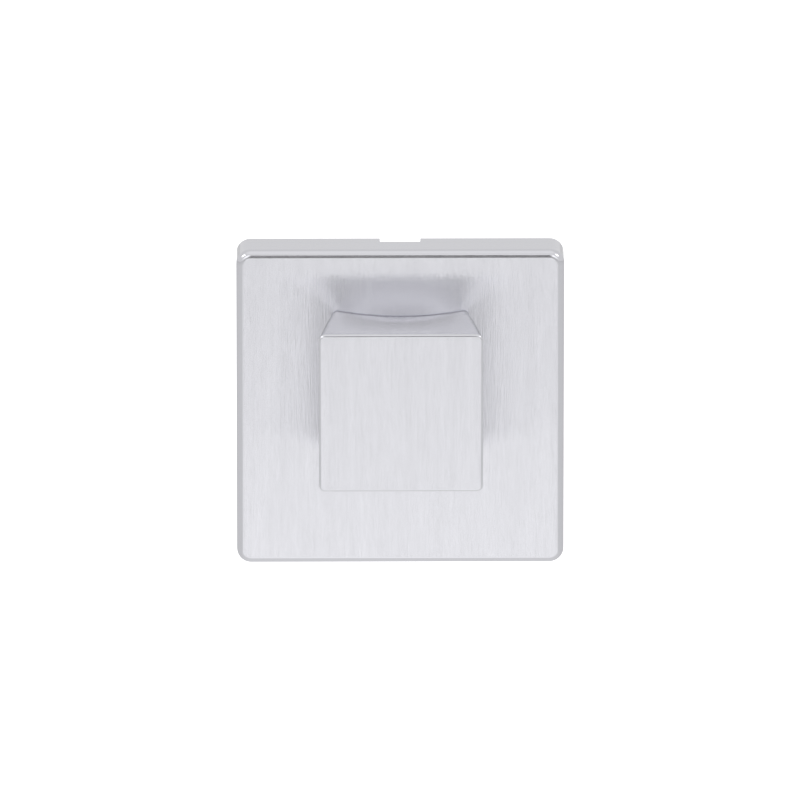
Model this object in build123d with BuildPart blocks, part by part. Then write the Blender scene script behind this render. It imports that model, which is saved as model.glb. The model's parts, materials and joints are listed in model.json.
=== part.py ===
from build123d import *
import os
from math import sqrt

# Inside half of a toilet door bolt: a square turn head on a square rose.
# Lengths are in millimetres. The door face is the plane y = 0, the front looks
# along -Y and +Z is up. The origin is on the spindle axis, at the door face.
# A depth is counted from the door face towards the viewer, so y is minus depth.

# Rose cover, the drawn square cap that shows
rose_side = 52.0
rose_depth = 7.0
rose_wall = 1.0
rose_corner_radius = 2.3
rose_edge_radius = 1.15
pry_notch_width = 6.4
pry_notch_depth = 1.8

# Turn head, the square block that is gripped
head_side = 26.0
head_length = 15.4
head_gap = 0.3
head_front_wall = 2.9
head_offset = 4.0
head_corner_radius = 1.0
head_edge_radius = 0.35
head_rear_edge_radius = 0.25
head_side_taper = 1.8
head_end_taper = 0.6
head_scoop = 1.2
head_station_shares = (0, 0.4, 0.7, 1)

# Clearances that every fit is worked out from
fit_gap = 0.03
running_gap = 0.05
seat_gap = 0.1

# Spindle, its reducing sleeve and the pin that keeps it in the hub
spindle_side = 6.0
spindle_length = 65.0
spindle_chamfer = 0.25
spindle_end_chamfer = 0.6
spindle_pin_radius = 1.0
spindle_pin_wall = 0.35
spindle_pin_slit = 0.4
sleeve_wall = 1.0
sleeve_length = 18.0
sleeve_start = 11.0
sleeve_slit = 0.6
sleeve_chamfer = 0.3

# Hub, the turned piece that runs in the bush and carries the square cam
hub_wall = 0.95
journal_step = 0.3
hub_in_head = 4.6
hub_chamfer = 0.3
cam_wall = 0.67
cam_corner_radius = 1.5

# Bearing bush
bush_wall = 1.45
bush_flange_width = 2.5
bush_flange_thickness = 1.1
bush_flat_depth = 0.6
bush_proud = 0.15

# Stop pin, in the cam, and the ring spring between cam and plate
stop_pin_radius = 1.0
stop_pin_floor = 0.3
stop_angle = 90.0
ring_width = 1.15
ring_thickness = 0.3
ring_room = 0.7

# Detent leaves and the well that they work in
leaf_thickness = 0.5
leaf_side_gap = 0.12
leaf_room = 0.25
leaf_end_gap = 0.3
well_floor = 1.1
well_corner_radius = 0.3

# Inner rose, the moulded base behind the cover
base_wall = 1.6
base_skin = 2.2
base_edge_chamfer = 0.4
base_island_wall = 1.3
base_island_radius = 3.0
rib_thickness = 1.2
rib_offset = 8.5
side_rib_offset = 10.5

# Plate that closes the well from behind, and its screws
plate_thickness = 1.0
plate_border = 2.85
plate_corner_radius = 2.0
plate_screw_inset = 2.1
plate_screw_radius = 0.95
plate_screw_head_radius = 1.85
plate_screw_cover = 1.3
plate_drive_width = 0.5
countersink_half_angle = 45

# Fixings: two bolts through the door, in lugs, and four wood screws
lug_inset = 5.9
lug_radius = 3.9
lug_length = 8.0
lug_boss_wall = 1.2
lug_chamfer = 0.5
lug_to_plate = 0.25
bolt_radius = 2.0
bolt_neck_radius = 1.75
bolt_end_chamfer = 0.5
bolt_clearance = 0.15
bolt_head_radius = 3.75
bolt_head_height = 2.4
bolt_head_dome = 0.7
bolt_head_clearance = 0.25
bolt_length = 40.0
washer_thickness = 0.5
drive_width = 0.9
drive_reach = 2.1
drive_depth = 1.2
screw_inset = 7.4
screw_radius = 1.75
screw_neck_radius = 1.3
screw_head_radius = 3.2
screw_length = 20.0
screw_point_length = 4.0
screw_boss_wall = 1.3
screw_drive_share = 0.55
screw_drive_depth = 1.45
screw_tip_share = 0.15

# Grub screw under the head
grub_radius = 2.0
grub_recess = 1.0
grub_key_width = 2.0
grub_key_depth = 2.2
grub_cup_depth = 0.5
grub_chamfer = 0.4

# Spring clips that hold the cover on the inner rose
clip_length = 13.0
clip_width = 3.4
clip_thickness = 0.4
clip_recess_depth = 0.9
clip_bead_radius = 0.5
clip_bead_proud = 0.22
clip_bead_length = 4.0
clip_end_room = 0.4

# One overrun serves every cut
overrun = 1.0

# Rose and base, worked out from the sizes above. The bolts come out 38 apart and
# the wood screws 35 apart, the usual spacings.
cover_inner_half = rose_side / 2 - rose_wall
base_side = rose_side - 2 * (rose_wall + seat_gap)
base_depth = rose_depth - rose_wall - seat_gap
base_corner_radius = rose_corner_radius - rose_wall - seat_gap
fixing_spacing = base_side - 2 * lug_inset
lug_boss_radius = bolt_head_radius + bolt_head_clearance + lug_boss_wall
screw_spacing = base_side - 2 * screw_inset
screw_boss_radius = screw_head_radius + screw_boss_wall

# Radii, from the spindle outwards to the cam
hub_rear_radius = spindle_side * sqrt(2) / 2 + hub_wall
journal_radius = hub_rear_radius + journal_step
collar_radius = journal_radius + running_gap + bush_wall
bush_flange_radius = collar_radius + bush_flange_width
ring_inner_radius = hub_rear_radius + seat_gap
ring_outer_radius = ring_inner_radius + ring_width
stop_radius = ring_outer_radius + seat_gap + stop_pin_radius
stop_start_angle = 90 - stop_angle / 2
cam_side = 2 * (stop_radius / sqrt(2) + stop_pin_radius + cam_wall)
cam_reach = (cam_side / 2 - cam_corner_radius) * sqrt(2) + cam_corner_radius
square_hole_side = spindle_side + 2 * fit_gap

# Plate, well and leaves: as wide as the lugs allow, as high as the cam needs
plate_width = fixing_spacing - 2 * (lug_radius + lug_to_plate)
well_half_width = plate_width / 2 - plate_border
well_half_height = cam_reach + leaf_thickness + leaf_room
plate_height = 2 * (well_half_height + plate_border)
leaf_span = 2 * (well_half_width - leaf_end_gap)

# Depths, from the door outwards to the front of the head
flange_seat_depth = base_depth - bush_flange_thickness - seat_gap
well_depth = flange_seat_depth - well_floor
cam_front_depth = well_depth - running_gap
cam_rear_depth = plate_thickness + ring_room
cam_thickness = cam_front_depth - cam_rear_depth
leaf_width = cam_thickness - 2 * leaf_side_gap
head_rear_depth = rose_depth + head_gap
head_front_depth = head_rear_depth + head_length
hub_front_depth = head_rear_depth + hub_in_head
head_bore_depth = hub_front_depth + head_gap
head_socket_depth = head_front_depth - head_front_wall
spindle_front_depth = head_socket_depth - head_gap
spindle_pin_depth = (head_rear_depth + hub_front_depth) / 2
grub_depth = (head_bore_depth + spindle_front_depth) / 2
bolt_seat_depth = base_depth - bolt_head_height - bolt_clearance
clip_depth = base_depth / 2

# Lengths of the small fasteners
plate_screw_length = base_depth - plate_screw_cover
plate_screw_head_height = plate_screw_head_radius - plate_screw_radius
bolt_neck_length = bolt_seat_depth + lug_length
bolt_thread_length = bolt_length - bolt_neck_length
screw_top_depth = base_depth - fit_gap
screw_head_height = screw_head_radius - screw_neck_radius
screw_thread_length = screw_length - screw_point_length - screw_top_depth
grub_length = head_side / 2 - head_offset - spindle_side / 2 - grub_recess

parts_folder = "parts"
os.makedirs(parts_folder, exist_ok=True)


def at_depth(depth):
    """Plane parallel to the door that looks at the viewer, its own x and y along X and Z."""
    return Plane.XZ.offset(depth)


def save(piece, name):
    """Label a finished piece and write it as a STEP file of the same name."""
    piece.part.label = name
    export_step(piece.part, parts_folder + "/" + name + ".step")


def fixing_places():
    """The two bolt places, left and right of the spindle."""
    return GridLocations(fixing_spacing, 0, 2, 1)


def wood_screw_places():
    """The four wood screw places, near the corners of the inner rose."""
    return GridLocations(screw_spacing, screw_spacing, 2, 2)


def plate_screw_places():
    """The four screw places in the corners of the retaining plate."""
    across = plate_width - 2 * plate_screw_inset
    up = plate_height - 2 * plate_screw_inset
    return GridLocations(across, up, 2, 2)


# Rose cover: a drawn cap with a round hole for the bush collar and, in its upper
# rim at the door, the notch where a driver lifts it off.
with BuildPart() as rose_cover:
    with BuildSketch(at_depth(0)):
        Rectangle(rose_side, rose_side)
    extrude(amount=rose_depth)
    fillet(rose_cover.edges().filter_by(Axis.Y), radius=rose_corner_radius)
    fillet(rose_cover.faces().sort_by(Axis.Y)[0].edges(), radius=rose_edge_radius)
    with BuildSketch(at_depth(0)):
        RectangleRounded(2 * cover_inner_half, 2 * cover_inner_half, rose_corner_radius - rose_wall)
    extrude(amount=rose_depth - rose_wall, mode=Mode.SUBTRACT)
    with BuildSketch(at_depth(0)):
        Circle(collar_radius + running_gap)
    extrude(amount=rose_depth, mode=Mode.SUBTRACT)
    with BuildSketch(at_depth(0)):
        with Locations((0, cover_inner_half + rose_wall / 2)):
            Rectangle(pry_notch_width, rose_wall + overrun)
    extrude(amount=pry_notch_depth, mode=Mode.SUBTRACT)
    # A shallow groove inside each side wall takes the bead of a spring clip.
    with BuildSketch(Plane.XY.offset(-clip_length / 2)):
        for side in (-1, 1):
            with Locations((side * (cover_inner_half + clip_bead_proud - clip_bead_radius), -clip_depth)):
                Circle(clip_bead_radius + fit_gap)
    extrude(amount=clip_length, mode=Mode.SUBTRACT)
save(rose_cover, "rose_cover")

# Inner rose: a moulded base, hollow and ribbed behind, with a lug round each bolt,
# a boss round each wood screw and a well for the cam and its two leaves.
with BuildPart() as inner_rose:
    with BuildSketch(at_depth(0)):
        RectangleRounded(base_side, base_side, base_corner_radius)
    extrude(amount=base_depth)
    chamfer(inner_rose.faces().sort_by(Axis.Y)[0].edges(), length=base_edge_chamfer)
    hollow_side = base_side - 2 * base_wall
    island_width = plate_width + 2 * base_island_wall
    island_height = plate_height + 2 * base_island_wall
    with BuildSketch(at_depth(0)):
        RectangleRounded(hollow_side, hollow_side, base_wall)
        RectangleRounded(island_width, island_height, base_island_radius, mode=Mode.SUBTRACT)
        with fixing_places():
            Circle(lug_boss_radius, mode=Mode.SUBTRACT)
        with wood_screw_places():
            Circle(screw_boss_radius, mode=Mode.SUBTRACT)
        with GridLocations(2 * rib_offset, 0, 2, 1):
            Rectangle(rib_thickness, base_side, mode=Mode.SUBTRACT)
        with GridLocations(0, 2 * side_rib_offset, 1, 2):
            Rectangle(base_side, rib_thickness, mode=Mode.SUBTRACT)
    extrude(amount=base_depth - base_skin, mode=Mode.SUBTRACT)
    # The well, the step that takes the plate, and the seat of the bush flange
    with BuildSketch(at_depth(0)):
        RectangleRounded(2 * well_half_width, 2 * well_half_height, well_corner_radius)
    extrude(amount=well_depth, mode=Mode.SUBTRACT)
    with BuildSketch(at_depth(0)):
        RectangleRounded(plate_width + 2 * seat_gap, plate_height + 2 * seat_gap, plate_corner_radius)
    extrude(amount=plate_thickness, mode=Mode.SUBTRACT)
    with BuildSketch(at_depth(0)):
        Circle(collar_radius + fit_gap)
    extrude(amount=base_depth, mode=Mode.SUBTRACT)
    with BuildSketch(at_depth(flange_seat_depth)):
        Circle(bush_flange_radius + fit_gap)
        flats = 2 * (bush_flange_radius - bush_flat_depth + fit_gap)
        Rectangle(flats, 2 * bush_flange_radius + overrun, mode=Mode.INTERSECT)
    extrude(amount=bush_flange_thickness + overrun, mode=Mode.SUBTRACT)
    # Lugs that enter the door, and the holes of the bolts and screws
    with BuildSketch(at_depth(0)):
        with fixing_places():
            Circle(lug_radius)
    extrude(amount=-lug_length)
    lug_ends = inner_rose.faces().sort_by(Axis.Y)[-2:]
    chamfer(lug_ends.edges(), length=lug_chamfer)
    with BuildSketch(at_depth(-lug_length)):
        with fixing_places():
            Circle(bolt_radius + bolt_clearance)
    extrude(amount=lug_length + base_depth, mode=Mode.SUBTRACT)
    with BuildSketch(at_depth(bolt_seat_depth - washer_thickness)):
        with fixing_places():
            Circle(bolt_head_radius + bolt_head_clearance)
    extrude(amount=base_depth, mode=Mode.SUBTRACT)
    with Locations(at_depth(base_depth)):
        with wood_screw_places():
            CounterSinkHole(screw_radius + seat_gap, screw_head_radius + seat_gap, depth=base_depth)
    with BuildSketch(at_depth(plate_thickness)):
        with plate_screw_places():
            Circle(plate_screw_radius + fit_gap)
    extrude(amount=plate_screw_length - plate_thickness + seat_gap, mode=Mode.SUBTRACT)
    # A recess in each side wall seats a spring clip.
    recess_length = clip_length + 2 * clip_end_room
    with BuildSketch(Plane.XY.offset(-recess_length / 2)):
        for side in (-1, 1):
            with Locations((side * (base_side + overrun - clip_recess_depth) / 2, -clip_depth)):
                Rectangle(clip_recess_depth + overrun, clip_width + 2 * seat_gap)
    extrude(amount=recess_length, mode=Mode.SUBTRACT)
save(inner_rose, "inner_rose")

# Bearing bush: a flange with two flats, and a collar that fills the cover's hole.
with BuildPart() as bearing_bush:
    with BuildSketch(at_depth(well_depth)):
        Circle(collar_radius)
    extrude(amount=rose_depth + bush_proud - well_depth)
    with BuildSketch(at_depth(flange_seat_depth)):
        Circle(bush_flange_radius)
        Rectangle(2 * (bush_flange_radius - bush_flat_depth), 2 * bush_flange_radius, mode=Mode.INTERSECT)
    extrude(amount=bush_flange_thickness)
    with BuildSketch(at_depth(0)):
        Circle(journal_radius + running_gap)
    extrude(amount=head_front_depth, mode=Mode.SUBTRACT)
save(bearing_bush, "bearing_bush")

# Turn hub: a journal that the head is keyed on, a square cam and a rear journal.
with BuildPart() as turn_hub:
    with BuildSketch(at_depth(seat_gap)):
        Circle(hub_rear_radius)
    extrude(amount=cam_rear_depth - seat_gap)
    with BuildSketch(at_depth(cam_rear_depth)):
        RectangleRounded(cam_side, cam_side, cam_corner_radius)
    extrude(amount=cam_thickness)
    with BuildSketch(at_depth(cam_front_depth)):
        Circle(journal_radius)
    extrude(amount=hub_front_depth - cam_front_depth)
    chamfer(turn_hub.faces().sort_by(Axis.Y)[0].edges(), length=hub_chamfer)
    with BuildSketch(at_depth(0)):
        Rectangle(square_hole_side, square_hole_side)
    extrude(amount=head_front_depth, mode=Mode.SUBTRACT)
    with BuildSketch(at_depth(0)):
        with PolarLocations(stop_radius, 1, start_angle=stop_start_angle + stop_angle):
            Circle(stop_pin_radius + fit_gap)
    extrude(amount=cam_front_depth - stop_pin_floor, mode=Mode.SUBTRACT)
    with BuildSketch(Plane.YZ):
        with Locations((-spindle_pin_depth, 0)):
            Circle(spindle_pin_radius + fit_gap)
    extrude(amount=journal_radius + overrun, both=True, mode=Mode.SUBTRACT)
save(turn_hub, "turn_hub")

# Stop pin: stands out of the cam and runs in the curved slot of the plate.
with BuildPart() as stop_pin:
    with BuildSketch(at_depth(seat_gap)):
        with PolarLocations(stop_radius, 1, start_angle=stop_start_angle + stop_angle):
            Circle(stop_pin_radius)
    extrude(amount=cam_front_depth - stop_pin_floor - 2 * seat_gap)
save(stop_pin, "stop_pin")

# Retaining plate: closes the well, carries the hub's rear journal, and its
# curved slot sets the quarter turn.
slot_arc = CenterArc((0, 0), stop_radius, stop_start_angle, stop_angle)
with BuildPart() as retaining_plate:
    with BuildSketch(at_depth(0)):
        RectangleRounded(plate_width, plate_height, plate_corner_radius)
        Circle(hub_rear_radius + running_gap, mode=Mode.SUBTRACT)
        SlotArc(slot_arc, 2 * (stop_pin_radius + running_gap), mode=Mode.SUBTRACT)
    extrude(amount=plate_thickness)
    with BuildSketch(at_depth(0)):
        with plate_screw_places():
            Circle(plate_screw_head_radius + fit_gap)
    extrude(amount=plate_screw_head_height, taper=countersink_half_angle, mode=Mode.SUBTRACT)
    with BuildSketch(at_depth(0)):
        with plate_screw_places():
            Circle(plate_screw_radius + fit_gap)
    extrude(amount=plate_thickness, mode=Mode.SUBTRACT)
save(retaining_plate, "retaining_plate")

# Screws of the retaining plate: countersunk, flush with the plate's back
with BuildPart() as plate_screws:
    with BuildSketch(at_depth(0)):
        with plate_screw_places():
            Circle(plate_screw_head_radius)
    extrude(amount=plate_screw_head_height, taper=countersink_half_angle)
    with BuildSketch(at_depth(0)):
        with plate_screw_places():
            Circle(plate_screw_radius)
    extrude(amount=plate_screw_length)
    with BuildSketch(at_depth(0)):
        with plate_screw_places():
            Rectangle(2 * plate_screw_radius, plate_drive_width)
            Rectangle(plate_drive_width, 2 * plate_screw_radius)
    extrude(amount=plate_screw_head_height, mode=Mode.SUBTRACT)
save(plate_screws, "plate_screws")

# Ring spring: a dished washer between the plate and the cam takes up end play.
with BuildPart() as ring_spring:
    with BuildSketch(Plane.XY):
        on_plate = -(plate_thickness + fit_gap)
        on_cam = -(cam_rear_depth - fit_gap)
        with BuildLine():
            Polyline(
                (ring_outer_radius, on_plate),
                (ring_outer_radius, on_plate - ring_thickness),
                (ring_inner_radius, on_cam),
                (ring_inner_radius, on_cam + ring_thickness),
                close=True,
            )
        make_face()
    revolve(axis=Axis.Y)
save(ring_spring, "ring_spring")

# Detent leaves: bowed strips that lie on the cam's flats and hold the turn at
# each quarter; their ends bear on the walls of the well.
leaf_end = well_half_height - fit_gap - leaf_thickness
leaf_middle = cam_side / 2 + fit_gap
for name, side in (("detent_leaf_upper", 1), ("detent_leaf_lower", -1)):
    with BuildPart() as detent_leaf:
        with BuildSketch(at_depth(cam_rear_depth + leaf_side_gap)):
            with BuildLine():
                left, right = -leaf_span / 2, leaf_span / 2
                far_end = leaf_end + leaf_thickness
                far_middle = leaf_middle + leaf_thickness
                ThreePointArc((left, side * leaf_end), (0, side * leaf_middle), (right, side * leaf_end))
                Line((right, side * leaf_end), (right, side * far_end))
                ThreePointArc((right, side * far_end), (0, side * far_middle), (left, side * far_end))
                Line((left, side * far_end), (left, side * leaf_end))
            make_face()
        extrude(amount=leaf_width)
    save(detent_leaf, name)

# Cover clips: bowed strips in the side walls of the inner rose, each with a
# bead that snaps into the groove inside the cover.
clip_floor = base_side / 2 - clip_recess_depth + fit_gap
clip_crown = cover_inner_half - fit_gap - clip_thickness
for name, side in (("cover_clip_left", -1), ("cover_clip_right", 1)):
    with BuildPart() as cover_clip:
        with BuildSketch(at_depth(clip_depth - clip_width / 2)):
            with BuildLine():
                low, high = -clip_length / 2, clip_length / 2
                outer_floor = clip_floor + clip_thickness
                outer_crown = clip_crown + clip_thickness
                ThreePointArc((side * clip_floor, low), (side * clip_crown, 0), (side * clip_floor, high))
                Line((side * clip_floor, high), (side * outer_floor, high))
                ThreePointArc((side * outer_floor, high), (side * outer_crown, 0), (side * outer_floor, low))
                Line((side * outer_floor, low), (side * clip_floor, low))
            make_face()
        extrude(amount=clip_width)
        with BuildSketch(Plane.XY.offset(-clip_bead_length / 2)):
            with Locations((side * (cover_inner_half + clip_bead_proud - clip_bead_radius), -clip_depth)):
                Circle(clip_bead_radius)
        extrude(amount=clip_bead_length)
    save(cover_clip, name)

# Through bolts: pan heads in the inner rose, plain necks in the lugs, and from
# the lugs' ends on the thread at its full diameter
with BuildPart() as through_bolts:
    with BuildSketch(at_depth(bolt_seat_depth)):
        with fixing_places():
            Circle(bolt_head_radius)
    extrude(amount=bolt_head_height)
    head_rims = through_bolts.faces().sort_by(Axis.Y)[:2].edges()
    fillet(head_rims, radius=bolt_head_dome)
    with BuildSketch(at_depth(bolt_seat_depth + bolt_head_height)):
        with fixing_places():
            Rectangle(2 * drive_reach, drive_width)
            Rectangle(drive_width, 2 * drive_reach)
    extrude(amount=-drive_depth, mode=Mode.SUBTRACT)
    with BuildSketch(at_depth(bolt_seat_depth)):
        with fixing_places():
            Circle(bolt_neck_radius)
    extrude(amount=-bolt_neck_length)
    with BuildSketch(at_depth(-lug_length)):
        with fixing_places():
            Circle(bolt_radius)
    extrude(amount=-bolt_thread_length)
    bolt_ends = through_bolts.faces().sort_by(Axis.Y)[-2:].edges()
    chamfer(bolt_ends, length=bolt_end_chamfer)
save(through_bolts, "through_bolts")

# Washers that spread the load of the bolt heads on the moulded base
with BuildPart() as bolt_washers:
    with BuildSketch(at_depth(bolt_seat_depth)):
        with fixing_places():
            Circle(bolt_head_radius + bolt_head_clearance - seat_gap)
            Circle(bolt_radius + seat_gap, mode=Mode.SUBTRACT)
    extrude(amount=-washer_thickness)
save(bolt_washers, "bolt_washers")

# Wood screws: countersunk in the corner bosses, with plain necks as deep as the
# rose, then the thread at its full diameter and a tapered point
hanging = (Align.CENTER, Align.CENTER, Align.MAX)
with BuildPart() as wood_screws:
    with Locations(at_depth(screw_top_depth)):
        with wood_screw_places():
            Cone(screw_neck_radius, screw_head_radius, screw_head_height, align=hanging)
            Cylinder(screw_neck_radius, screw_top_depth, align=hanging)
    with Locations(at_depth(0)):
        with wood_screw_places():
            Cylinder(screw_radius, screw_thread_length, align=hanging)
    with Locations(at_depth(-screw_thread_length)):
        with wood_screw_places():
            Cone(screw_radius * screw_tip_share, screw_radius, screw_point_length, align=hanging)
    with BuildSketch(at_depth(screw_top_depth)):
        with wood_screw_places():
            Rectangle(2 * screw_head_radius * screw_drive_share, drive_width)
            Rectangle(drive_width, 2 * screw_head_radius * screw_drive_share)
    extrude(amount=-screw_drive_depth, mode=Mode.SUBTRACT)
save(wood_screws, "wood_screws")

# Spindle: a square bar from the head, through the hub, into the door
with BuildPart() as spindle:
    with BuildSketch(at_depth(spindle_front_depth - spindle_length)):
        Rectangle(spindle_side, spindle_side)
    extrude(amount=spindle_length)
    chamfer(spindle.faces().filter_by(Axis.Y).edges(), length=spindle_end_chamfer)
    chamfer(spindle.edges().filter_by(Axis.Y), length=spindle_chamfer)
    with BuildSketch(Plane.YZ):
        with Locations((-spindle_pin_depth, 0)):
            Circle(spindle_pin_radius + fit_gap)
    extrude(amount=journal_radius, both=True, mode=Mode.SUBTRACT)
save(spindle, "spindle")

# Spindle pin: a rolled spring pin across the hub and the spindle
pin_half_length = journal_radius - 2 * seat_gap
with BuildPart() as spindle_pin:
    with BuildSketch(Plane.YZ.offset(-pin_half_length)):
        with Locations((-spindle_pin_depth, 0)):
            Circle(spindle_pin_radius)
            Circle(spindle_pin_radius - spindle_pin_wall, mode=Mode.SUBTRACT)
        with Locations((-spindle_pin_depth, spindle_pin_radius)):
            Rectangle(spindle_pin_slit, 2 * spindle_pin_radius, mode=Mode.SUBTRACT)
    extrude(amount=2 * pin_half_length)
save(spindle_pin, "spindle_pin")

# Reducing sleeve: a slit square tube that makes the bar fit a larger follower
sleeve_side = spindle_side + 2 * sleeve_wall
with BuildPart() as spindle_sleeve:
    with BuildSketch(at_depth(-(sleeve_start + sleeve_length))):
        tube = Rectangle(sleeve_side, sleeve_side)
        chamfer(tube.vertices(), length=sleeve_chamfer)
        Rectangle(square_hole_side, square_hole_side, mode=Mode.SUBTRACT)
        with Locations((0, sleeve_side / 2)):
            Rectangle(sleeve_slit, sleeve_side - spindle_side, mode=Mode.SUBTRACT)
    extrude(amount=sleeve_length)
save(spindle_sleeve, "spindle_sleeve")

# Turn head: a square block set above the spindle axis. Its front is a plain
# square; towards the rose every side draws in and grows more hollow.
with BuildPart() as turn_head:
    for share in head_station_shares:
        half_width = head_side / 2 - head_side_taper * share
        half_height = head_side / 2 - head_end_taper * share
        hollow = head_scoop * share**2
        low, high = head_offset - half_height, head_offset + half_height
        corners = [(-half_width, low), (half_width, low), (half_width, high), (-half_width, high)]
        middles = [
            (0, low + hollow),
            (half_width - hollow, head_offset),
            (0, high - hollow),
            (hollow - half_width, head_offset),
        ]
        with BuildSketch(at_depth(head_front_depth - head_length * share)) as section:
            with BuildLine():
                for index, middle in enumerate(middles):
                    here, there = corners[index], corners[index - 3]
                    if hollow > 0:
                        ThreePointArc(here, middle, there)
                    else:
                        Line(here, there)
            make_face()
            fillet(section.vertices(), radius=head_corner_radius)
    loft()
    front_rim = turn_head.faces().sort_by(Axis.Y)[0].edges()
    fillet(front_rim, radius=head_edge_radius)
    rear_rim = turn_head.faces().sort_by(Axis.Y)[-1].edges()
    fillet(rear_rim, radius=head_rear_edge_radius)
    with BuildSketch(at_depth(head_rear_depth)):
        Circle(journal_radius + fit_gap)
    extrude(amount=head_bore_depth - head_rear_depth, mode=Mode.SUBTRACT)
    with BuildSketch(at_depth(head_rear_depth)):
        Rectangle(square_hole_side, square_hole_side)
    extrude(amount=head_socket_depth - head_rear_depth, mode=Mode.SUBTRACT)
    with BuildSketch(Plane.XY):
        with Locations((0, -grub_depth)):
            Circle(grub_radius + fit_gap)
    extrude(amount=-head_side, mode=Mode.SUBTRACT)
save(turn_head, "turn_head")

# Grub screw: from below, its cup point on the spindle's lower flat
grub_top = -(spindle_side / 2 + fit_gap)
with BuildPart() as grub_screw:
    with BuildSketch(Plane.XY.offset(grub_top)):
        with Locations((0, -grub_depth)):
            Circle(grub_radius)
    extrude(amount=-grub_length)
    chamfer(grub_screw.faces().filter_by(Axis.Z).edges(), length=grub_chamfer)
    with BuildSketch(Plane.XY.offset(grub_top)):
        with Locations((0, -grub_depth)):
            Circle(grub_radius - 2 * grub_chamfer)
    extrude(amount=-grub_cup_depth, taper=countersink_half_angle, mode=Mode.SUBTRACT)
    with BuildSketch(Plane.XY.offset(grub_top - grub_length)):
        with Locations((0, -grub_depth)):
            RegularPolygon(grub_key_width / 2, 6, major_radius=False)
    extrude(amount=grub_key_depth, mode=Mode.SUBTRACT)
save(grub_screw, "grub_screw")
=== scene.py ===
"""Looks of a toilet door turn: a square turn head on a square satin rose, with its fixings.

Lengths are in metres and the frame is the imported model's: the door face is the plane y = 0, the
front looks along -Y, +Z is up, and the spindle axis runs through the origin.
"""

import json
import logging
import math
from dataclasses import dataclass
from enum import Enum

import bmesh
import bpy
import numpy as np
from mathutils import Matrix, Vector


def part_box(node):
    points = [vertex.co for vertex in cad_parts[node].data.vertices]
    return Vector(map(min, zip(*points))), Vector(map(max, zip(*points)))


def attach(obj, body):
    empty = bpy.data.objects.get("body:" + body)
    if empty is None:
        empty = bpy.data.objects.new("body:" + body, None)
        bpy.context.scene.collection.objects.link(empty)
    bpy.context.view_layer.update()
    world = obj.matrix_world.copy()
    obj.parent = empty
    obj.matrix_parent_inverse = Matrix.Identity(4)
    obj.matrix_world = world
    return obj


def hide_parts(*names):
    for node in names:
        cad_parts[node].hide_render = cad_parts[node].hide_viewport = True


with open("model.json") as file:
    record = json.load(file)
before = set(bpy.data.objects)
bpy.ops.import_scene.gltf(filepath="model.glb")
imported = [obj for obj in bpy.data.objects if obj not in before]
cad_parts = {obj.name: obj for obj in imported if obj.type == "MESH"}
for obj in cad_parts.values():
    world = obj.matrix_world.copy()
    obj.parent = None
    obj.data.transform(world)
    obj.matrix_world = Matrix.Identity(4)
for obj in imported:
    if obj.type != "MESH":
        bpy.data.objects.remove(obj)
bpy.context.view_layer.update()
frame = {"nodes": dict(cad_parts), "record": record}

LOG = logging.getLogger("scene")
MM = 0.001
MERGE_WITHIN = 0.0005 * MM
COLLAPSE_UNDER = 0.0004 * MM
CREASE_DEGREES = 35.0
BEVEL_SAMPLES = 4
WHITE = (1.0, 1.0, 1.0, 1.0)
NOISE_CORE = (0.3, 0.7)

Pair = tuple[float, float]
Triple = tuple[float, float, float]
Shell = tuple[np.ndarray, np.ndarray]
Socket = bpy.types.NodeSocket


class Slot(Enum):
    """Material slots of the record, one for each kind of finish."""

    ROSE_SATIN = "rose_satin"
    HEAD_SATIN = "head_satin"
    BASE_MOULDING = "base_moulding"
    BUSH_POLYMER = "bush_polymer"
    HUB_CASTING = "hub_casting"
    ZINC_PLATED_STEEL = "zinc_plated_steel"
    DRAWN_STEEL = "drawn_steel"
    SPRING_STEEL = "spring_steel"
    HARDENED_STEEL = "hardened_steel"


class Axis(Enum):
    """Unit vectors along a piece's own axes."""

    SIDEWAYS = (1.0, 0.0, 0.0)
    SPINDLE = (0.0, 1.0, 0.0)
    UPRIGHT = (0.0, 0.0, 1.0)


class Grain(Enum):
    """How fast a surface pattern changes along X, Y and Z: a small share draws it out."""

    EVEN = (1.0, 1.0, 1.0)
    SIDEWAYS = (0.02, 1.0, 1.0)
    SPINDLE = (1.0, 0.02, 1.0)
    UPRIGHT = (1.0, 1.0, 0.04)


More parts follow.
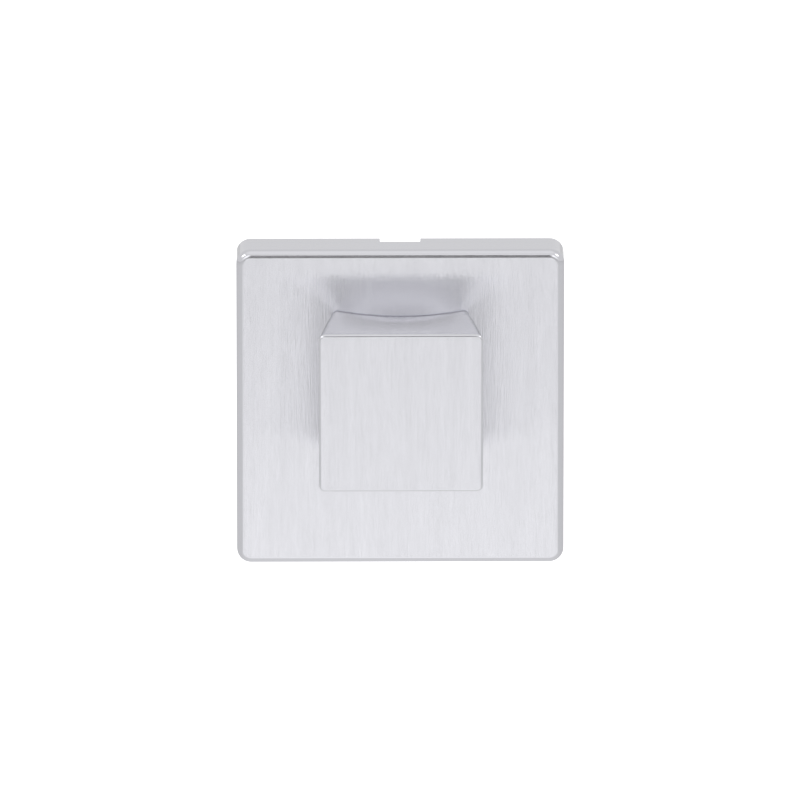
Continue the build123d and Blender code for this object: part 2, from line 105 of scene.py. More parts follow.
class Nodes:
    """A node tree, with short calls for what the materials and the room share."""

    def __init__(self, tree: bpy.types.NodeTree) -> None:
        """Take a node tree and empty it.

        Args:
            tree: the tree of a material or of the world.
        """
        self.tree = tree
        self.tree.nodes.clear()

    def add(self, kind: str, **settings: object) -> bpy.types.Node:
        """Add a node and set its properties.

        Args:
            kind: Blender's name of the node type.
            settings: properties of the node and their values.

        Returns:
            The new node.
        """
        node = self.tree.nodes.new(kind)
        for key, value in settings.items():
            setattr(node, key, value)
        return node

    def link(self, source: Socket, target: Socket) -> None:
        """Join an output to an input."""
        self.tree.links.new(source, target)

    def mapped(self, source: Socket, scale: Triple, location: Triple = (0.0, 0.0, 0.0)) -> Socket:
        """Scale a vector and then shift it.

        Args:
            source: the vector.
            scale: factor along each axis.
            location: shift along each axis.

        Returns:
            The new vector.
        """
        node = self.add("ShaderNodeMapping")
        self.link(source, node.inputs["Vector"])
        node.inputs["Scale"].default_value = scale
        node.inputs["Location"].default_value = location
        return node.outputs["Vector"]

    def ranged(self, source: Socket, start: float, end: float, at_start: float, at_end: float,
               soft: bool = False) -> Socket:
        """Map a value from one range to another, held at the results of both ends.

        Args:
            source: the value.
            start: start of the range that is read.
            end: end of the range that is read.
            at_start: result at the start.
            at_end: result at the end.
            soft: ease in and out at the ends.

        Returns:
            The mapped value.
        """
        node = self.add("ShaderNodeMapRange", interpolation_type="SMOOTHSTEP" if soft else "LINEAR")
        self.link(source, node.inputs["Value"])
        limits = {"From Min": start, "From Max": end, "To Min": at_start, "To Max": at_end}
        for key, value in limits.items():
            node.inputs[key].default_value = value
        return node.outputs["Result"]

    def math(self, operation: str, *values: Socket) -> Socket:
        """Apply one operation to one or two values.

        Args:
            operation: Blender's name of the operation, such as ADD.
            values: the values, in order.

        Returns:
            The result.
        """
        node = self.add("ShaderNodeMath", operation=operation)
        for value, target in zip(values, node.inputs):
            self.link(value, target)
        return node.outputs["Value"]

    def product(self, first: Socket, *others: Socket) -> Socket:
        """Multiply values in order.

        Args:
            first: the first value.
            others: the values that it is multiplied by.

        Returns:
            The product.
        """
        result = first
        for other in others:
            result = self.math("MULTIPLY", result, other)
        return result

    def along(self, source: Socket, direction: Triple) -> Socket:
        """How far a vector reaches along a direction.

        Args:
            source: the vector.
            direction: a unit vector.

        Returns:
            The share of the vector along the direction.
        """
        node = self.add("ShaderNodeVectorMath", operation="DOT_PRODUCT")
        self.link(source, node.inputs[0])
        node.inputs[1].default_value = direction
        return node.outputs["Value"]

    def length(self, source: Socket) -> Socket:
        """The length of a vector."""
        node = self.add("ShaderNodeVectorMath", operation="LENGTH")
        self.link(source, node.inputs[0])
        return node.outputs["Value"]

    def parts(self, source: Socket) -> dict[str, Socket]:
        """The X, Y and Z of a vector, by these letters."""
        node = self.add("ShaderNodeSeparateXYZ")
        self.link(source, node.inputs["Vector"])
        return {letter: node.outputs[letter] for letter in "XYZ"}


class Shader(Nodes):
    """A material with one surface, on the coordinates of the piece that wears it."""

    def __init__(self, name: str) -> None:
        """Make a material with a plain surface.

        Args:
            name: the material's name, in plain words.
        """
        self.material = bpy.data.materials.new(name)
        self.material.use_nodes = True
        super().__init__(self.material.node_tree)
        self.surface = self.add("ShaderNodeBsdfPrincipled")
        output = self.add("ShaderNodeOutputMaterial")
        self.link(self.surface.outputs["BSDF"], output.inputs["Surface"])
        self.place = self.add("ShaderNodeTexCoord").outputs["Object"]

    def socket(self, name: str) -> Socket:
        """An input of the surface, by its name in small letters with underscores for spaces."""
        return self.surface.inputs[name.replace("_", " ").title()]

    def set(self, **values: float | tuple[float, ...]) -> None:
        """Set inputs of the surface to values, by name."""
        for name, value in values.items():
            self.socket(name).default_value = value

    def feed(self, **sources: Socket) -> None:
        """Join outputs to inputs of the surface, by name."""
        for name, source in sources.items():
            self.link(source, self.socket(name))

    def noise(self, size: float, grain: Grain, detail: float = 3.0) -> Socket:
        """A noise between 0 and 1 on object coordinates.

        Args:
            size: width of one mark across the grain, in metres.
            grain: how the marks are drawn out.
            detail: how many finer layers the noise has.

        Returns:
            The noise.
        """
        texture = self.add("ShaderNodeTexNoise")
        texture.inputs["Scale"].default_value = 1.0
        texture.inputs["Detail"].default_value = detail
        scale = tuple(share / size for share in grain.value)
        self.link(self.mapped(self.place, scale), texture.inputs["Vector"])
        return texture.outputs["Fac"]

    def tinted(self, amount: Socket, dark: Triple, light: Triple) -> Socket:
        """Mix two colours by a value.

        Args:
            amount: 0 gives the dark colour and 1 the light one.
            dark: linear colour at 0.
            light: linear colour at 1.

        Returns:
            The colour.
        """
        node = self.add("ShaderNodeMix", data_type="RGBA")
        self.link(amount, node.inputs["Factor"])
        node.inputs["A"].default_value = (*dark, 1.0)
        node.inputs["B"].default_value = (*light, 1.0)
        return node.outputs["Result"]

    def bump(self, height: Socket, depth: float, rounding: float = 0.0) -> None:
        """Give the surface a relief, and round its sharp edges in the shading.

        Args:
            height: relief between 0 and 1.
            depth: the relief's depth in metres.
            rounding: radius of the shaded edge rounding in metres, or 0 for none.
        """
        node = self.add("ShaderNodeBump")
        node.inputs["Distance"].default_value = depth
        self.link(height, node.inputs["Height"])
        if rounding > 0:
            bevel = self.add("ShaderNodeBevel", samples=BEVEL_SAMPLES)
            bevel.inputs["Radius"].default_value = rounding
            self.link(bevel.outputs["Normal"], node.inputs["Normal"])
        self.feed(normal=node.outputs["Normal"])

    def comb(self, across: Triple) -> None:
        """Set the tangent across the brushing, so that highlights spread sideways.

        The direction is fixed in the piece's own space and turns with the piece. Each point uses
        the part of it that lies in the surface.

        Args:
            across: direction across the brush lines, along the piece's own axes.
        """
        node = self.add("ShaderNodeVectorTransform", vector_type="VECTOR", convert_from="OBJECT",
                        convert_to="WORLD")
        node.inputs["Vector"].default_value = across
        self.feed(tangent=node.outputs["Vector"])

    def facing(self, axis: Axis, start: float, end: float) -> Socket:
        """How far a point faces either way along an axis, from the piece's own normal.

        Args:
            axis: the axis.
            start: share of the normal along the axis where the result is still 0.
            end: share of the normal along the axis where the result is 1.

        Returns:
            A value between 0 and 1.
        """
        normal = self.add("ShaderNodeTexCoord").outputs["Normal"]
        share = self.math("ABSOLUTE", self.along(normal, axis.value))
        return self.ranged(share, start, end, 0.0, 1.0)


@dataclass(frozen=True)
class BrushedChrome:
    """Satin chrome with upright brush lines on the flat faces and smoother, worn edges.

    The brush lines are fine noise drawn out upright, and wider patches vary the roughness. A
    point is on a face when its normal points along the spindle from face_from to face_to, and on
    a side when it points up or sideways from side_from to side_to. All else is an edge.
    """

    name: str
    dark: Triple = (0.664, 0.664, 0.700)
    light: Triple = (0.732, 0.732, 0.768)
    face_roughness: float = 0.24
    side_roughness: float = 0.13
    edge_roughness: float = 0.10
    spread: float = 1.0
    across: Triple = (1.0, 0.05, 0.0)
    line_width: float = 0.17 * MM
    line_depth: float = 0.045 * MM
    line_detail: float = 4.0
    patch_size: float = 1.3 * MM
    patch_detail: float = 2.0
    patch_spread: float = 0.06
    face_from: float = 0.9965
    face_to: float = 0.9998
    side_from: float = 0.93
    side_to: float = 0.97

    def make(self) -> bpy.types.Material:
        """Build the material.

        Returns:
            The material.
        """
        shader = Shader(self.name)
        lines = shader.noise(self.line_width, Grain.UPRIGHT, self.line_detail)
        patches = shader.noise(self.patch_size, Grain.UPRIGHT, self.patch_detail)
        uneven = shader.ranged(patches, *NOISE_CORE, 1 - self.patch_spread, 1 + self.patch_spread)
        face = shader.facing(Axis.SPINDLE, self.face_from, self.face_to)
        shader.feed(base_color=shader.tinted(lines, self.dark, self.light),
                    roughness=shader.product(self.wear(shader, face), uneven))
        shader.bump(shader.product(lines, face), self.line_depth)
        shader.comb(self.across)
        shader.set(metallic=1.0, anisotropic=self.spread)
        return shader.material

    def wear(self, shader: Shader, face: Socket) -> Socket:
        """Roughness that is high on the faces, less on the sides and least on the worn edges.

        Args:
            shader: the material that is being built.
            face: 1 on the flat faces and 0 elsewhere.

        Returns:
            The roughness before its patches.
        """
        upper = shader.facing(Axis.UPRIGHT, self.side_from, self.side_to)
        outer = shader.facing(Axis.SIDEWAYS, self.side_from, self.side_to)
        side = shader.math("MAXIMUM", upper, outer)
        from_face = shader.ranged(face, 0.0, 1.0, self.edge_roughness, self.face_roughness)
        from_side = shader.ranged(side, 0.0, 1.0, self.edge_roughness, self.side_roughness)
        return shader.math("MAXIMUM", from_face, from_side)


@dataclass(frozen=True)
class PlainMetal:
    """A metal surface with an even or drawn-out grain and slightly rounded edges.

    Small marks and wide stains are added up. Their sum sets the colour between dark and light,
    and the roughness by its spread to both sides. mark_share is the marks' part of the sum.
    """

    name: str
    dark: Triple
    light: Triple
    roughness: float
    roughness_spread: float = 0.15
    mark_size: float = 0.3 * MM
    mark_depth: float = 0.003 * MM
    mark_detail: float = 4.0
    mark_core: Pair = (0.25, 0.75)
    mark_share: float = 0.5
    grain: Grain = Grain.EVEN
    stain_size: float = 4.0 * MM
    edge_rounding: float = 0.08 * MM

    def make(self) -> bpy.types.Material:
        """Build the material.

        Returns:
            The material.
        """
        shader = Shader(self.name)
        marks = shader.noise(self.mark_size, self.grain, self.mark_detail)
        stains = shader.noise(self.stain_size, Grain.EVEN)
        mixed = shader.math("ADD", shader.ranged(marks, *self.mark_core, 0.0, self.mark_share),
                            shader.ranged(stains, *NOISE_CORE, 0.0, 1 - self.mark_share))
        least = self.roughness * (1 - self.roughness_spread)
        most = self.roughness * (1 + self.roughness_spread)
        shader.feed(base_color=shader.tinted(mixed, self.dark, self.light),
                    roughness=shader.ranged(mixed, 0.0, 1.0, least, most))
        shader.bump(marks, self.mark_depth, self.edge_rounding)
        shader.set(metallic=1.0)
        return shader.material


@dataclass(frozen=True)
class Moulding:
    """A moulded plastic surface: fine spark-eroded grain, a faint flow and softened edges.

    The flow is a wide noise that sets the colour between dark and light, and the roughness by
    its spread to both sides.
    """

    name: str
    dark: Triple
    light: Triple
    roughness: float
    roughness_spread: float = 0.05
    grain_size: float = 0.12 * MM
    grain_depth: float = 0.012 * MM
    grain_detail: float = 2.0
    flow_size: float = 9.0 * MM
    edge_rounding: float = 0.15 * MM

    def make(self) -> bpy.types.Material:
        """Build the material.

        Returns:
            The material.
        """
        shader = Shader(self.name)
        grain = shader.noise(self.grain_size, Grain.EVEN, self.grain_detail)
        flow = shader.noise(self.flow_size, Grain.EVEN)
        least = self.roughness - self.roughness_spread
        most = self.roughness + self.roughness_spread
        shader.feed(base_color=shader.tinted(flow, self.dark, self.light),
                    roughness=shader.ranged(flow, *NOISE_CORE, least, most))
        shader.bump(grain, self.grain_depth, self.edge_rounding)
        return shader.material


def assign(piece: bpy.types.Object, material: bpy.types.Material) -> None:
    """Give a piece one material.

    Args:
        piece: the object that is dressed.
        material: its finish.
    """
    if not piece.material_slots:
        piece.data.materials.append(material)
    for slot in piece.material_slots:
        slot.material = material


def grid_faces(rows: int, columns: int) -> np.ndarray:
    """Corners of the faces of a grid that is closed round its columns.

    Point (i, j) has the number i * columns + j. Each face joins a point, its neighbour in the
    next column, and the same two in the next row.

    Args:
        rows: number of rows of points.
        columns: number of points in each row.

    Returns:
        Whole numbers, one row of four for each face.
    """
    row, column = np.meshgrid(np.arange(rows - 1), np.arange(columns), indexing="ij")
    here = row * columns + column
    beside = row * columns + (column + 1) % columns
    corners = [here, beside, beside + columns, here + columns]
    return np.stack(corners, axis=-1).reshape(-1, len(corners))


def mesh_of(name: str, points: np.ndarray, faces: np.ndarray) -> bpy.types.Mesh:
    """A mesh from arrays, with its doubles merged, its faces outward and creases kept sharp.

    Args:
        name: the mesh's name.
        points: one row of x, y, z in metres for each point.
        faces: one row of four point numbers for each face.

    Returns:
        The mesh.
    """
    mesh = bpy.data.meshes.new(name)
    mesh.vertices.add(len(points))
    mesh.vertices.foreach_set("co", np.ascontiguousarray(points, np.float32).ravel())
    mesh.loops.add(faces.size)
    mesh.loops.foreach_set("vertex_index", faces.astype(np.int32).ravel())
    mesh.polygons.add(len(faces))
    mesh.polygons.foreach_set("loop_start", np.arange(0, faces.size, faces.shape[1], dtype=np.int32))
    mesh.update(calc_edges=True)
    mesh.validate()
    work = bmesh.new()
    work.from_mesh(mesh)
    bmesh.ops.remove_doubles(work, verts=work.verts, dist=MERGE_WITHIN)
    bmesh.ops.dissolve_degenerate(work, edges=work.edges, dist=COLLAPSE_UNDER)
    bmesh.ops.recalc_face_normals(work, faces=work.faces)
    work.to_mesh(mesh)
    work.free()
    mesh.polygons.foreach_set("use_smooth", np.ones(len(mesh.polygons), bool))
    mesh.set_sharp_from_angle(angle=math.radians(CREASE_DEGREES))
    return mesh


def joined(name: str, shells: list[Shell]) -> bpy.types.Object:
    """One object from several shells of points and faces.

    Args:
        name: the object's name.
        shells: pairs of points and faces.

    Returns:
        The object, at the origin, in the scene.
    """
    starts = np.cumsum([0] + [len(points) for points, _ in shells[:-1]])
    points = np.concatenate([points for points, _ in shells])
    faces = np.concatenate([faces + start for (_, faces), start in zip(shells, starts)])
    piece = bpy.data.objects.new(name, mesh_of(name, points, faces))
    bpy.context.scene.collection.objects.link(piece)
    return piece


@dataclass(frozen=True)
class ThreadForm:
    """A screw thread: pitch, crest radius, root radius and the flat share of its crest."""

    pitch: float
    crest: float
    root: float
    crest_share: float = 0.18

    def radius(self, along: np.ndarray, angle: np.ndarray, strength: np.ndarray) -> np.ndarray:
        """Radius of the threaded surface.

        The phase is the place within a pitch, between 0 and 1, and moves on by one pitch in a
        turn. The crest is at its middle. From the crest's flat a straight flank falls to a
        root that is as wide as the crest.

        Args:
            along: distance along the screw, in metres.
            angle: angle round the screw, in radians.
            strength: 0 gives the root everywhere and 1 the full thread.

        Returns:
            The radius at each point.
        """
        phase = np.mod(along / self.pitch - angle / (2 * np.pi), 1.0)
        away = np.abs(phase - 0.5) * 2
        rise = np.clip((1 - self.crest_share - away) / (1 - 2 * self.crest_share), 0.0, 1.0)
        return self.root + (self.crest - self.root) * rise * strength


@dataclass(frozen=True)
class Fastener:
    """A screw or bolt along the spindle axis, built as one turned shell round its own axis.

    Places that end in start or end are distances along +Y. The crown rises by the dome over the
    head's rim and holds a cross recess, whose walls lean by a share of its width. The thread
    fades in over a few tenths of a pitch and tapers to the tip after its end.
    """

    head_radius: float
    head_start: float
    neck_start: float
    neck_radius: float
    thread_start: float
    thread_end: float
    tip_end: float
    tip_radius: float
    form: ThreadForm
    dome: float
    drive_depth: float
    drive_reach: float
    drive_width: float
    wall_lean: float = 0.25
    fade_pitches: float = 0.6
    rings: int = 26
    columns: int = 48
    rows_in_pitch: int = 8

    def crown(self, angle: np.ndarray) -> Shell:
        """Rows of the head from its middle to its rim, with the cross recess let in.

        The crown is a shallow parabola that falls by the dome's height at the rim. The recess
        is a cross of two slots whose floor lies at the drive's depth and whose walls lean out.

        Args:
            angle: angles of the columns.

        Returns:
            Distance along the axis and radius, one row for each ring.
        """
        ring_radius = np.linspace(0.0, 1.0, self.rings)[:, None] * self.head_radius
        radius = np.repeat(ring_radius, len(angle), axis=1)
        fall = self.dome * (radius / self.head_radius) ** 2
        x = np.abs(radius * np.cos(angle))
        z = np.abs(radius * np.sin(angle))
        half = self.drive_width / 2
        level_slot = np.maximum(x - self.drive_reach, z - half)
        upright_slot = np.maximum(z - self.drive_reach, x - half)
        outside = np.minimum(level_slot, upright_slot)
        depth_share = np.clip(-outside / (self.wall_lean * self.drive_width), 0.0, 1.0)
        return self.head_start + fall + depth_share * self.drive_depth, radius

    def shank(self, angle: np.ndarray) -> Shell:
        """Rows of the threaded shank from the thread's start to the tip.

        Args:
            angle: angles of the columns.

        Returns:
            Distance along the axis and radius, one row for each step.
        """
        steps = int((self.tip_end - self.thread_start) / self.form.pitch * self.rows_in_pitch)
        run = np.linspace(self.thread_start, self.tip_end, steps)[:, None]
        fade = np.clip((run - self.thread_start) / (self.fade_pitches * self.form.pitch), 0.0, 1.0)
        taper = np.clip((run - self.thread_end) / (self.tip_end - self.thread_end), 0.0, 1.0)
        outline = self.form.crest * (1 - taper) + self.tip_radius * taper
        radius = np.minimum(self.form.radius(run, angle, fade), outline)
        return np.repeat(run, len(angle), axis=1), radius

    def shell(self, centre: Pair) -> Shell:
        """Points and faces of one fastener.

        The rows run from the crown's middle over the rim to the neck's two rings, along the
        shank and to a last row with every point on the axis, which closes the tip.

        Args:
            centre: X and Z of its axis.

        Returns:
            Points and faces.
        """
        angle = np.linspace(0.0, 2 * np.pi, self.columns, endpoint=False)
        around = np.ones((1, self.columns))
        neck = (around * self.neck_start, around * self.neck_radius)
        neck_end = (around * self.thread_start, around * self.neck_radius)
        tip = (around * self.tip_end, around * 0.0)
        rows = (self.crown(angle), neck, neck_end, self.shank(angle), tip)
        distance = np.concatenate([part[0] for part in rows])
        radius = np.concatenate([part[1] for part in rows])
        x = centre[0] + radius * np.cos(angle)
        z = centre[1] + radius * np.sin(angle)
        points = np.stack([x, distance, z], axis=-1).reshape(-1, 3)
        return points, grid_faces(len(distance), self.columns)


@dataclass(frozen=True)
class Fixings:
    """The bolts and wood screws that hold the rose on the door, with their threads cut."""

    bolt_spacing: float = 38.0 * MM
    screw_spacing: float = 35.0 * MM
    body: str = "rose"
    slot: Slot = Slot.ZINC_PLATED_STEEL

    def bolt(self) -> Fastener:
        """One through bolt, from the box of its node.

        Returns:
            The bolt.
        """
        low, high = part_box("through_bolts")
        return Fastener(
            head_radius=3.75 * MM,
            head_start=low.y,
            neck_start=low.y + 2.4 * MM,
            neck_radius=1.75 * MM,
            thread_start=8.0 * MM,
            thread_end=high.y - 0.5 * MM,
            tip_end=high.y,
            tip_radius=1.5 * MM,
            form=ThreadForm(pitch=0.7 * MM, crest=2.0 * MM, root=1.6 * MM),
            dome=0.5 * MM,
            drive_depth=1.2 * MM,
            drive_reach=2.1 * MM,
            drive_width=0.9 * MM,
        )

    def screw(self) -> Fastener:
        """One wood screw, from the box of its node.

        Returns:
            The screw.
        """
        low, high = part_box("wood_screws")
        return Fastener(
            head_radius=3.2 * MM,
            head_start=low.y,
            neck_start=low.y + 1.9 * MM,
            neck_radius=1.3 * MM,
            thread_start=0.0,
            thread_end=high.y - 4.0 * MM,
            tip_end=high.y,
            tip_radius=0.26 * MM,
            form=ThreadForm(pitch=1.6 * MM, crest=1.75 * MM, root=1.15 * MM, crest_share=0.08),
            dome=0.0,
            drive_depth=1.45 * MM,
            drive_reach=1.76 * MM,
            drive_width=0.9 * MM,
        )

    def build(self, finish: bpy.types.Material) -> list[bpy.types.Object]:
        """Build both sets and let them stand for their nodes.

        Args:
            finish: the plated finish.

        Returns:
            The two pieces.
        """
        across = self.bolt_spacing / 2
        corner = self.screw_spacing / 2
        bolt = self.bolt()
        screw = self.screw()
        bolts = joined("bolts_cut", [bolt.shell((side * across, 0.0)) for side in (-1, 1)])
        screws = joined("wood_screws_cut", [screw.shell((side * corner, end * corner))
                                            for side in (-1, 1) for end in (-1, 1)])
        for piece, node in ((bolts, "through_bolts"), (screws, "wood_screws")):
            assign(piece, finish)
            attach(piece, self.body)
            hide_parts(node)
        return [bolts, screws]


@dataclass(frozen=True)
class Dressing:
    """The finish of each slot, and which pieces wear it."""

    rose: BrushedChrome = BrushedChrome("satin chrome, rose")
    head: BrushedChrome = BrushedChrome("satin chrome, head")
    base: Moulding = Moulding("black nylon", dark=(0.012, 0.012, 0.013), light=(0.020, 0.020, 0.021),
                              roughness=0.5)
    bush: Moulding = Moulding("natural acetal", dark=(0.72, 0.71, 0.66), light=(0.78, 0.77, 0.73),
                              roughness=0.35)
    hub: PlainMetal = PlainMetal("cast zinc", dark=(0.42, 0.43, 0.45), light=(0.55, 0.56, 0.58),
                                 roughness=0.38)
    plated: PlainMetal = PlainMetal("bright zinc plate", dark=(0.60, 0.63, 0.67),
                                    light=(0.74, 0.76, 0.78), roughness=0.24)
    drawn: PlainMetal = PlainMetal("drawn bar", dark=(0.46, 0.46, 0.47), light=(0.60, 0.60, 0.61),
                                   roughness=0.32, grain=Grain.SPINDLE)
    spring: PlainMetal = PlainMetal("spring strip", dark=(0.22, 0.23, 0.26), light=(0.34, 0.35, 0.38),
                                    roughness=0.3, grain=Grain.SIDEWAYS)
    hardened: PlainMetal = PlainMetal("black oxide", dark=(0.035, 0.035, 0.037),
                                      light=(0.07, 0.07, 0.072), roughness=0.36)

    def finishes(self) -> dict[Slot, bpy.types.Material]:
        """Make one material for each slot.

        Returns:
            The materials by slot.
        """
        chosen = {
            Slot.ROSE_SATIN: self.rose,
            Slot.HEAD_SATIN: self.head,
            Slot.BASE_MOULDING: self.base,
            Slot.BUSH_POLYMER: self.bush,
            Slot.HUB_CASTING: self.hub,
            Slot.ZINC_PLATED_STEEL: self.plated,
            Slot.DRAWN_STEEL: self.drawn,
            Slot.SPRING_STEEL: self.spring,
            Slot.HARDENED_STEEL: self.hardened,
        }
        return {slot: finish.make() for slot, finish in chosen.items()}

    def build(self) -> dict[Slot, bpy.types.Material]:
        """Dress every node by the slot that the record gives it.

        Returns:
            The materials by slot.
        """
        made = self.finishes()
        for part in frame["record"]["subparts"]:
            assign(frame["nodes"][part["node"]], made[Slot(part["material_slot"])])
        return made


@dataclass(frozen=True)
class Table:
    """A white table below the object, with a glowing strip of painted light and a patch of painted
    shade on the floor far in front.

    The strip runs from front to back. It is brightest on its middle line, fades to strip_half on both
    sides, is weak from the middle to near_from as painted shade under the object, and gone at far_to.
    The painted shade far in front lies in front of front_from and up to front_half on both sides,
    where it fades until front_rim.
    """

    drop: float = 250.0 * MM
    half: float = 12.0
    colour: Triple = (0.755, 0.755, 0.755)
    roughness: float = 0.9
    glow: float = 0.93
    strip_half: float = 0.31
    near_from: float = 0.20
    near_to: float = 0.60
    # painted shade under the object: the glow's share near it
    painted_shade_near_share: float = 0.12
    far_from: float = 0.60
    far_to: float = 2.40
    # painted shade far in front: the dark floor colour there, standing for the dark room seen in
    # reflections
    painted_dark_front: Triple = (0.20, 0.20, 0.20)
    front_from: float = 1.50
    front_to: float = 1.95
    front_half: float = 0.22
    front_rim: float = 0.42

    def build(self) -> bpy.types.Object:
        """Lay the table below the object.

        Returns:
            The table.
        """
        corners = np.array([[-1, -1], [1, -1], [1, 1], [-1, 1]]) * self.half
        points = np.column_stack([corners, np.full(len(corners), -self.drop)])
        faces = np.arange(len(corners))[None, :]
        table = bpy.data.objects.new("table", mesh_of("table", points, faces))
        bpy.context.scene.collection.objects.link(table)
        assign(table, self.surface())
        return table

    def surface(self) -> bpy.types.Material:
        """The table's matt surface with its soft glow.

        The glow is the product of four shares: across the strip, near the object, where it is weak as
        painted shade, far away, and off the painted shade in front. The last one also mixes the
        colour, to a dark floor colour in that painted shade.

        Returns:
            The material.
        """
        shader = Shader("pale table")
        parts = shader.parts(shader.place)
        across = shader.math("ABSOLUTE", parts["X"])
        along = shader.math("ABSOLUTE", parts["Y"])
        strip = shader.ranged(across, 0.0, self.strip_half, self.glow, 0.0)
        # painted shade under the object: the glow is weak near it
        near = shader.ranged(along, self.near_from, self.near_to, self.painted_shade_near_share, 1.0)
        far = shader.ranged(along, self.far_from, self.far_to, 1.0, 0.0)
        # painted shade far in front: dark floor colour and no glow there, standing for the dark room
        # seen in reflections
        behind = shader.ranged(parts["Y"], -self.front_to, -self.front_from, 0.0, 1.0)
        beside = shader.ranged(across, self.front_half, self.front_rim, 0.0, 1.0)
        pale = shader.math("MAXIMUM", behind, beside)
        shader.feed(base_color=shader.tinted(pale, self.painted_dark_front, self.colour),
                    emission_strength=shader.product(strip, near, far, pale))
        shader.set(emission_color=WHITE, roughness=self.roughness)
        return shader.material


@dataclass(frozen=True)
class DarkPatch:
    """A dark ellipse in the room in front of the object, such as the camera and its stand.

    Sizes are shares of a unit direction. A direction's measure is its distance from the
    ellipse's middle with each axis over its half size. The light grows from left_over at the
    core's measure to all of it at the rim's.
    """

    side: float
    height: float
    half_width: float
    half_height: float
    core: float = 0.45
    rim: float = 1.15
    depth_scale: float = 1.5
    left_over: float = 0.14

    def scale(self) -> Triple:
        """How far each part of a direction counts towards the measure."""
        return (1 / self.half_width, self.depth_scale, 1 / self.half_height)

    def location(self) -> Triple:
        """The shift that puts the ellipse's middle, straight in front at y = -1, at zero."""
        across, along, upward = self.scale()
        return (-self.side * across, along, -self.height * upward)

    def shade(self, nodes: Nodes, direction: Socket) -> Socket:
        """How much light the patch leaves in a direction.

        Args:
            nodes: the world's nodes.
            direction: the direction that is looked in.

        Returns:
            The left-over share in the patch and 1 outside it.
        """
        measure = nodes.length(nodes.mapped(direction, self.scale(), self.location()))
        return nodes.ranged(measure, self.core, self.rim, self.left_over, 1.0, soft=True)


@dataclass(frozen=True)
class Room:
    """Light from all round: a brighter band in front, a soft ceiling, the camera and its stand.

    Strengths are named for what they light. The ceiling's from and to are shares of a direction
    along its centre. The band's are shares of a direction: front towards the front, foot and
    top upwards, where its lower edge fades in and its upper edge fades out.
    """

    plain: float = 0.81
    ceiling: float = 0.98
    ceiling_centre: Triple = (0.0, -0.22, 0.975)
    ceiling_from: float = 0.80
    ceiling_to: float = 0.98
    front: float = 1.54
    front_from: float = 0.72
    front_to: float = 0.92
    foot_from: float = -0.02
    foot_to: float = 0.27
    top_from: float = 0.68
    top_to: float = 0.95
    patches: tuple[DarkPatch, ...] = (
        DarkPatch(side=0.0, height=0.13, half_width=0.11, half_height=0.40, core=0.70),
        DarkPatch(side=0.04, height=0.425, half_width=0.15, half_height=0.09, left_over=0.0),
    )

    def band(self, nodes: Nodes, direction: Socket) -> Socket:
        """The front band's extra light over the plain one.

        Args:
            nodes: the world's nodes.
            direction: the direction that is looked in.

        Returns:
            The extra strength.
        """
        parts = nodes.parts(direction)
        extra = self.front - self.plain
        ahead = nodes.ranged(parts["Y"], -self.front_to, -self.front_from, extra, 0.0, soft=True)
        under_top = nodes.ranged(parts["Z"], self.top_from, self.top_to, 1.0, 0.0, soft=True)
        over_foot = nodes.ranged(parts["Z"], self.foot_from, self.foot_to, 0.0, 1.0, soft=True)
        return nodes.product(ahead, under_top, over_foot)

    def build(self) -> None:
        """Set up the world from its plain light, ceiling, front band and dark patches."""
        world = bpy.data.worlds.new("soft room")
        world.use_nodes = True
        bpy.context.scene.world = world
        nodes = Nodes(world.node_tree)
        direction = nodes.add("ShaderNodeTexCoord").outputs["Generated"]
        above = nodes.along(direction, self.ceiling_centre)
        soft = nodes.ranged(above, self.ceiling_from, self.ceiling_to, self.plain, self.ceiling,
                            soft=True)
        full = nodes.math("ADD", soft, self.band(nodes, direction))
        shades = [patch.shade(nodes, direction) for patch in self.patches]
        light = nodes.add("ShaderNodeBackground")
        nodes.link(nodes.product(full, *shades), light.inputs["Strength"])
        light.inputs["Color"].default_value = WHITE
        output = nodes.add("ShaderNodeOutputWorld")
        nodes.link(light.outputs["Background"], output.inputs["Surface"])


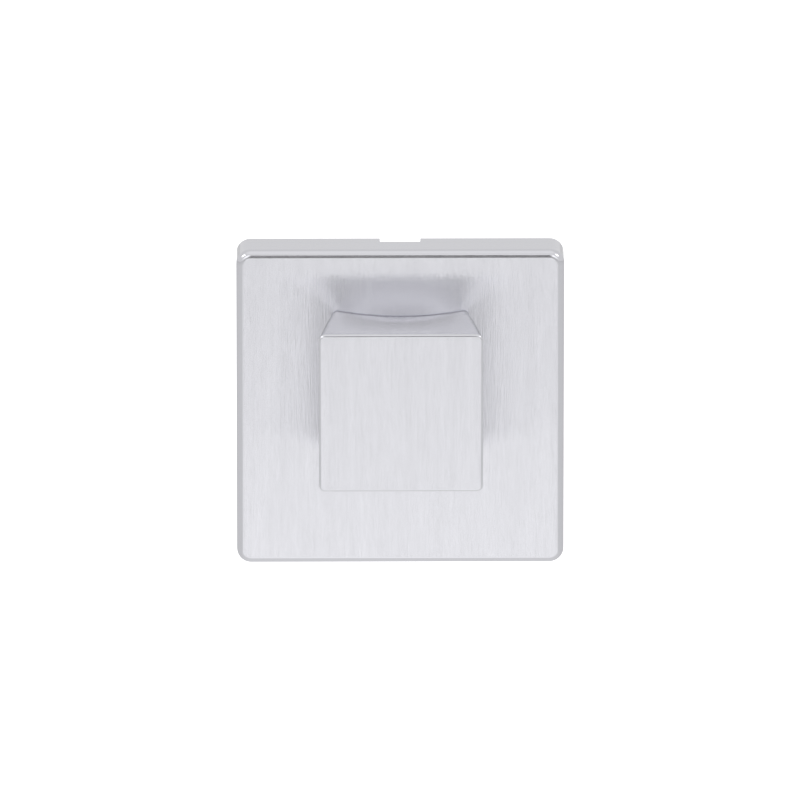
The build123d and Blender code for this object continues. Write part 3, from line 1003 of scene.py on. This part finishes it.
@dataclass(frozen=True)
class SideLamp:
    """A square soft lamp above one side, which puts a white spot on the rounded corners."""

    name: str
    side: float
    reach: float = 1.5
    azimuth: float = 62.0
    elevation: float = 39.0
    size: float = 0.42
    power: float = 2.2

    def build(self) -> None:
        """Hang the lamp and point it at the object."""
        turn = math.radians(self.azimuth)
        rise = math.radians(self.elevation)
        across = self.side * math.sin(turn) * math.cos(rise)
        along = -math.cos(turn) * math.cos(rise)
        place = Vector((across, along, math.sin(rise))) * self.reach
        light = bpy.data.lights.new(self.name, "AREA")
        light.shape = "SQUARE"
        light.size = self.size
        light.energy = self.power
        lamp = bpy.data.objects.new(self.name, light)
        lamp.location = place
        lamp.rotation_mode = "QUATERNION"
        lamp.rotation_quaternion = (-place).to_track_quat("-Z", "Y")
        bpy.context.scene.collection.objects.link(lamp)


@dataclass(frozen=True)
class Studio:
    """The camera at the photograph's angle, over a lit table in a soft room.

    The scale is in pixels to the millimetre at the origin, and angles are in degrees. The camera
    aims below the origin by aim_drop.
    """

    distance: float = 3.0
    scale: float = 6.285
    frame_pixels: float = 800.0
    sensor: float = 36.0
    azimuth: float = 0.4
    elevation: float = 17.45
    aim_drop: float = 0.86 * MM
    clip_start: float = 0.1
    clip_end: float = 60.0

    def forward(self) -> Vector:
        """The direction that the camera looks along.

        Returns:
            A unit vector.
        """
        turn = math.radians(self.azimuth)
        rise = math.radians(self.elevation)
        level = math.cos(rise)
        return Vector((math.sin(turn) * level, math.cos(turn) * level, -math.sin(rise)))

    def camera(self) -> None:
        """Make the camera: near-parallel, with the photograph's scale at the origin."""
        data = bpy.data.cameras.new("camera")
        data.sensor_width = self.sensor
        data.lens = self.scale * self.distance / MM * self.sensor / self.frame_pixels
        data.clip_start = self.clip_start
        data.clip_end = self.clip_end
        camera = bpy.data.objects.new("camera", data)
        forward = self.forward()
        turn = forward.to_track_quat("-Z", "Y")
        aim = turn @ Vector((0.0, -self.aim_drop, 0.0))
        camera.rotation_mode = "QUATERNION"
        camera.rotation_quaternion = turn
        camera.location = aim - forward * self.distance
        bpy.context.scene.collection.objects.link(camera)
        bpy.context.scene.camera = camera

    def build(self) -> None:
        """Set up the camera, the table and the light."""
        self.camera()
        Table().build()
        Room().build()
        for name, side in (("lamp_left", -1.0), ("lamp_right", 1.0)):
            SideLamp(name, side).build()
        bpy.context.scene.view_settings.view_transform = "Standard"


def main() -> None:
    """Build the pieces in order and report each."""
    logging.basicConfig(level=logging.INFO, format="%(name)s: %(message)s")
    finishes = Dressing().build()
    LOG.info("dressed %d nodes", len(frame["nodes"]))
    fixings = Fixings()
    for piece in fixings.build(finishes[fixings.slot]):
        LOG.info("built %s with %d faces", piece.name, len(piece.data.polygons))
    Studio().build()


if __name__ == "__main__":
    main()
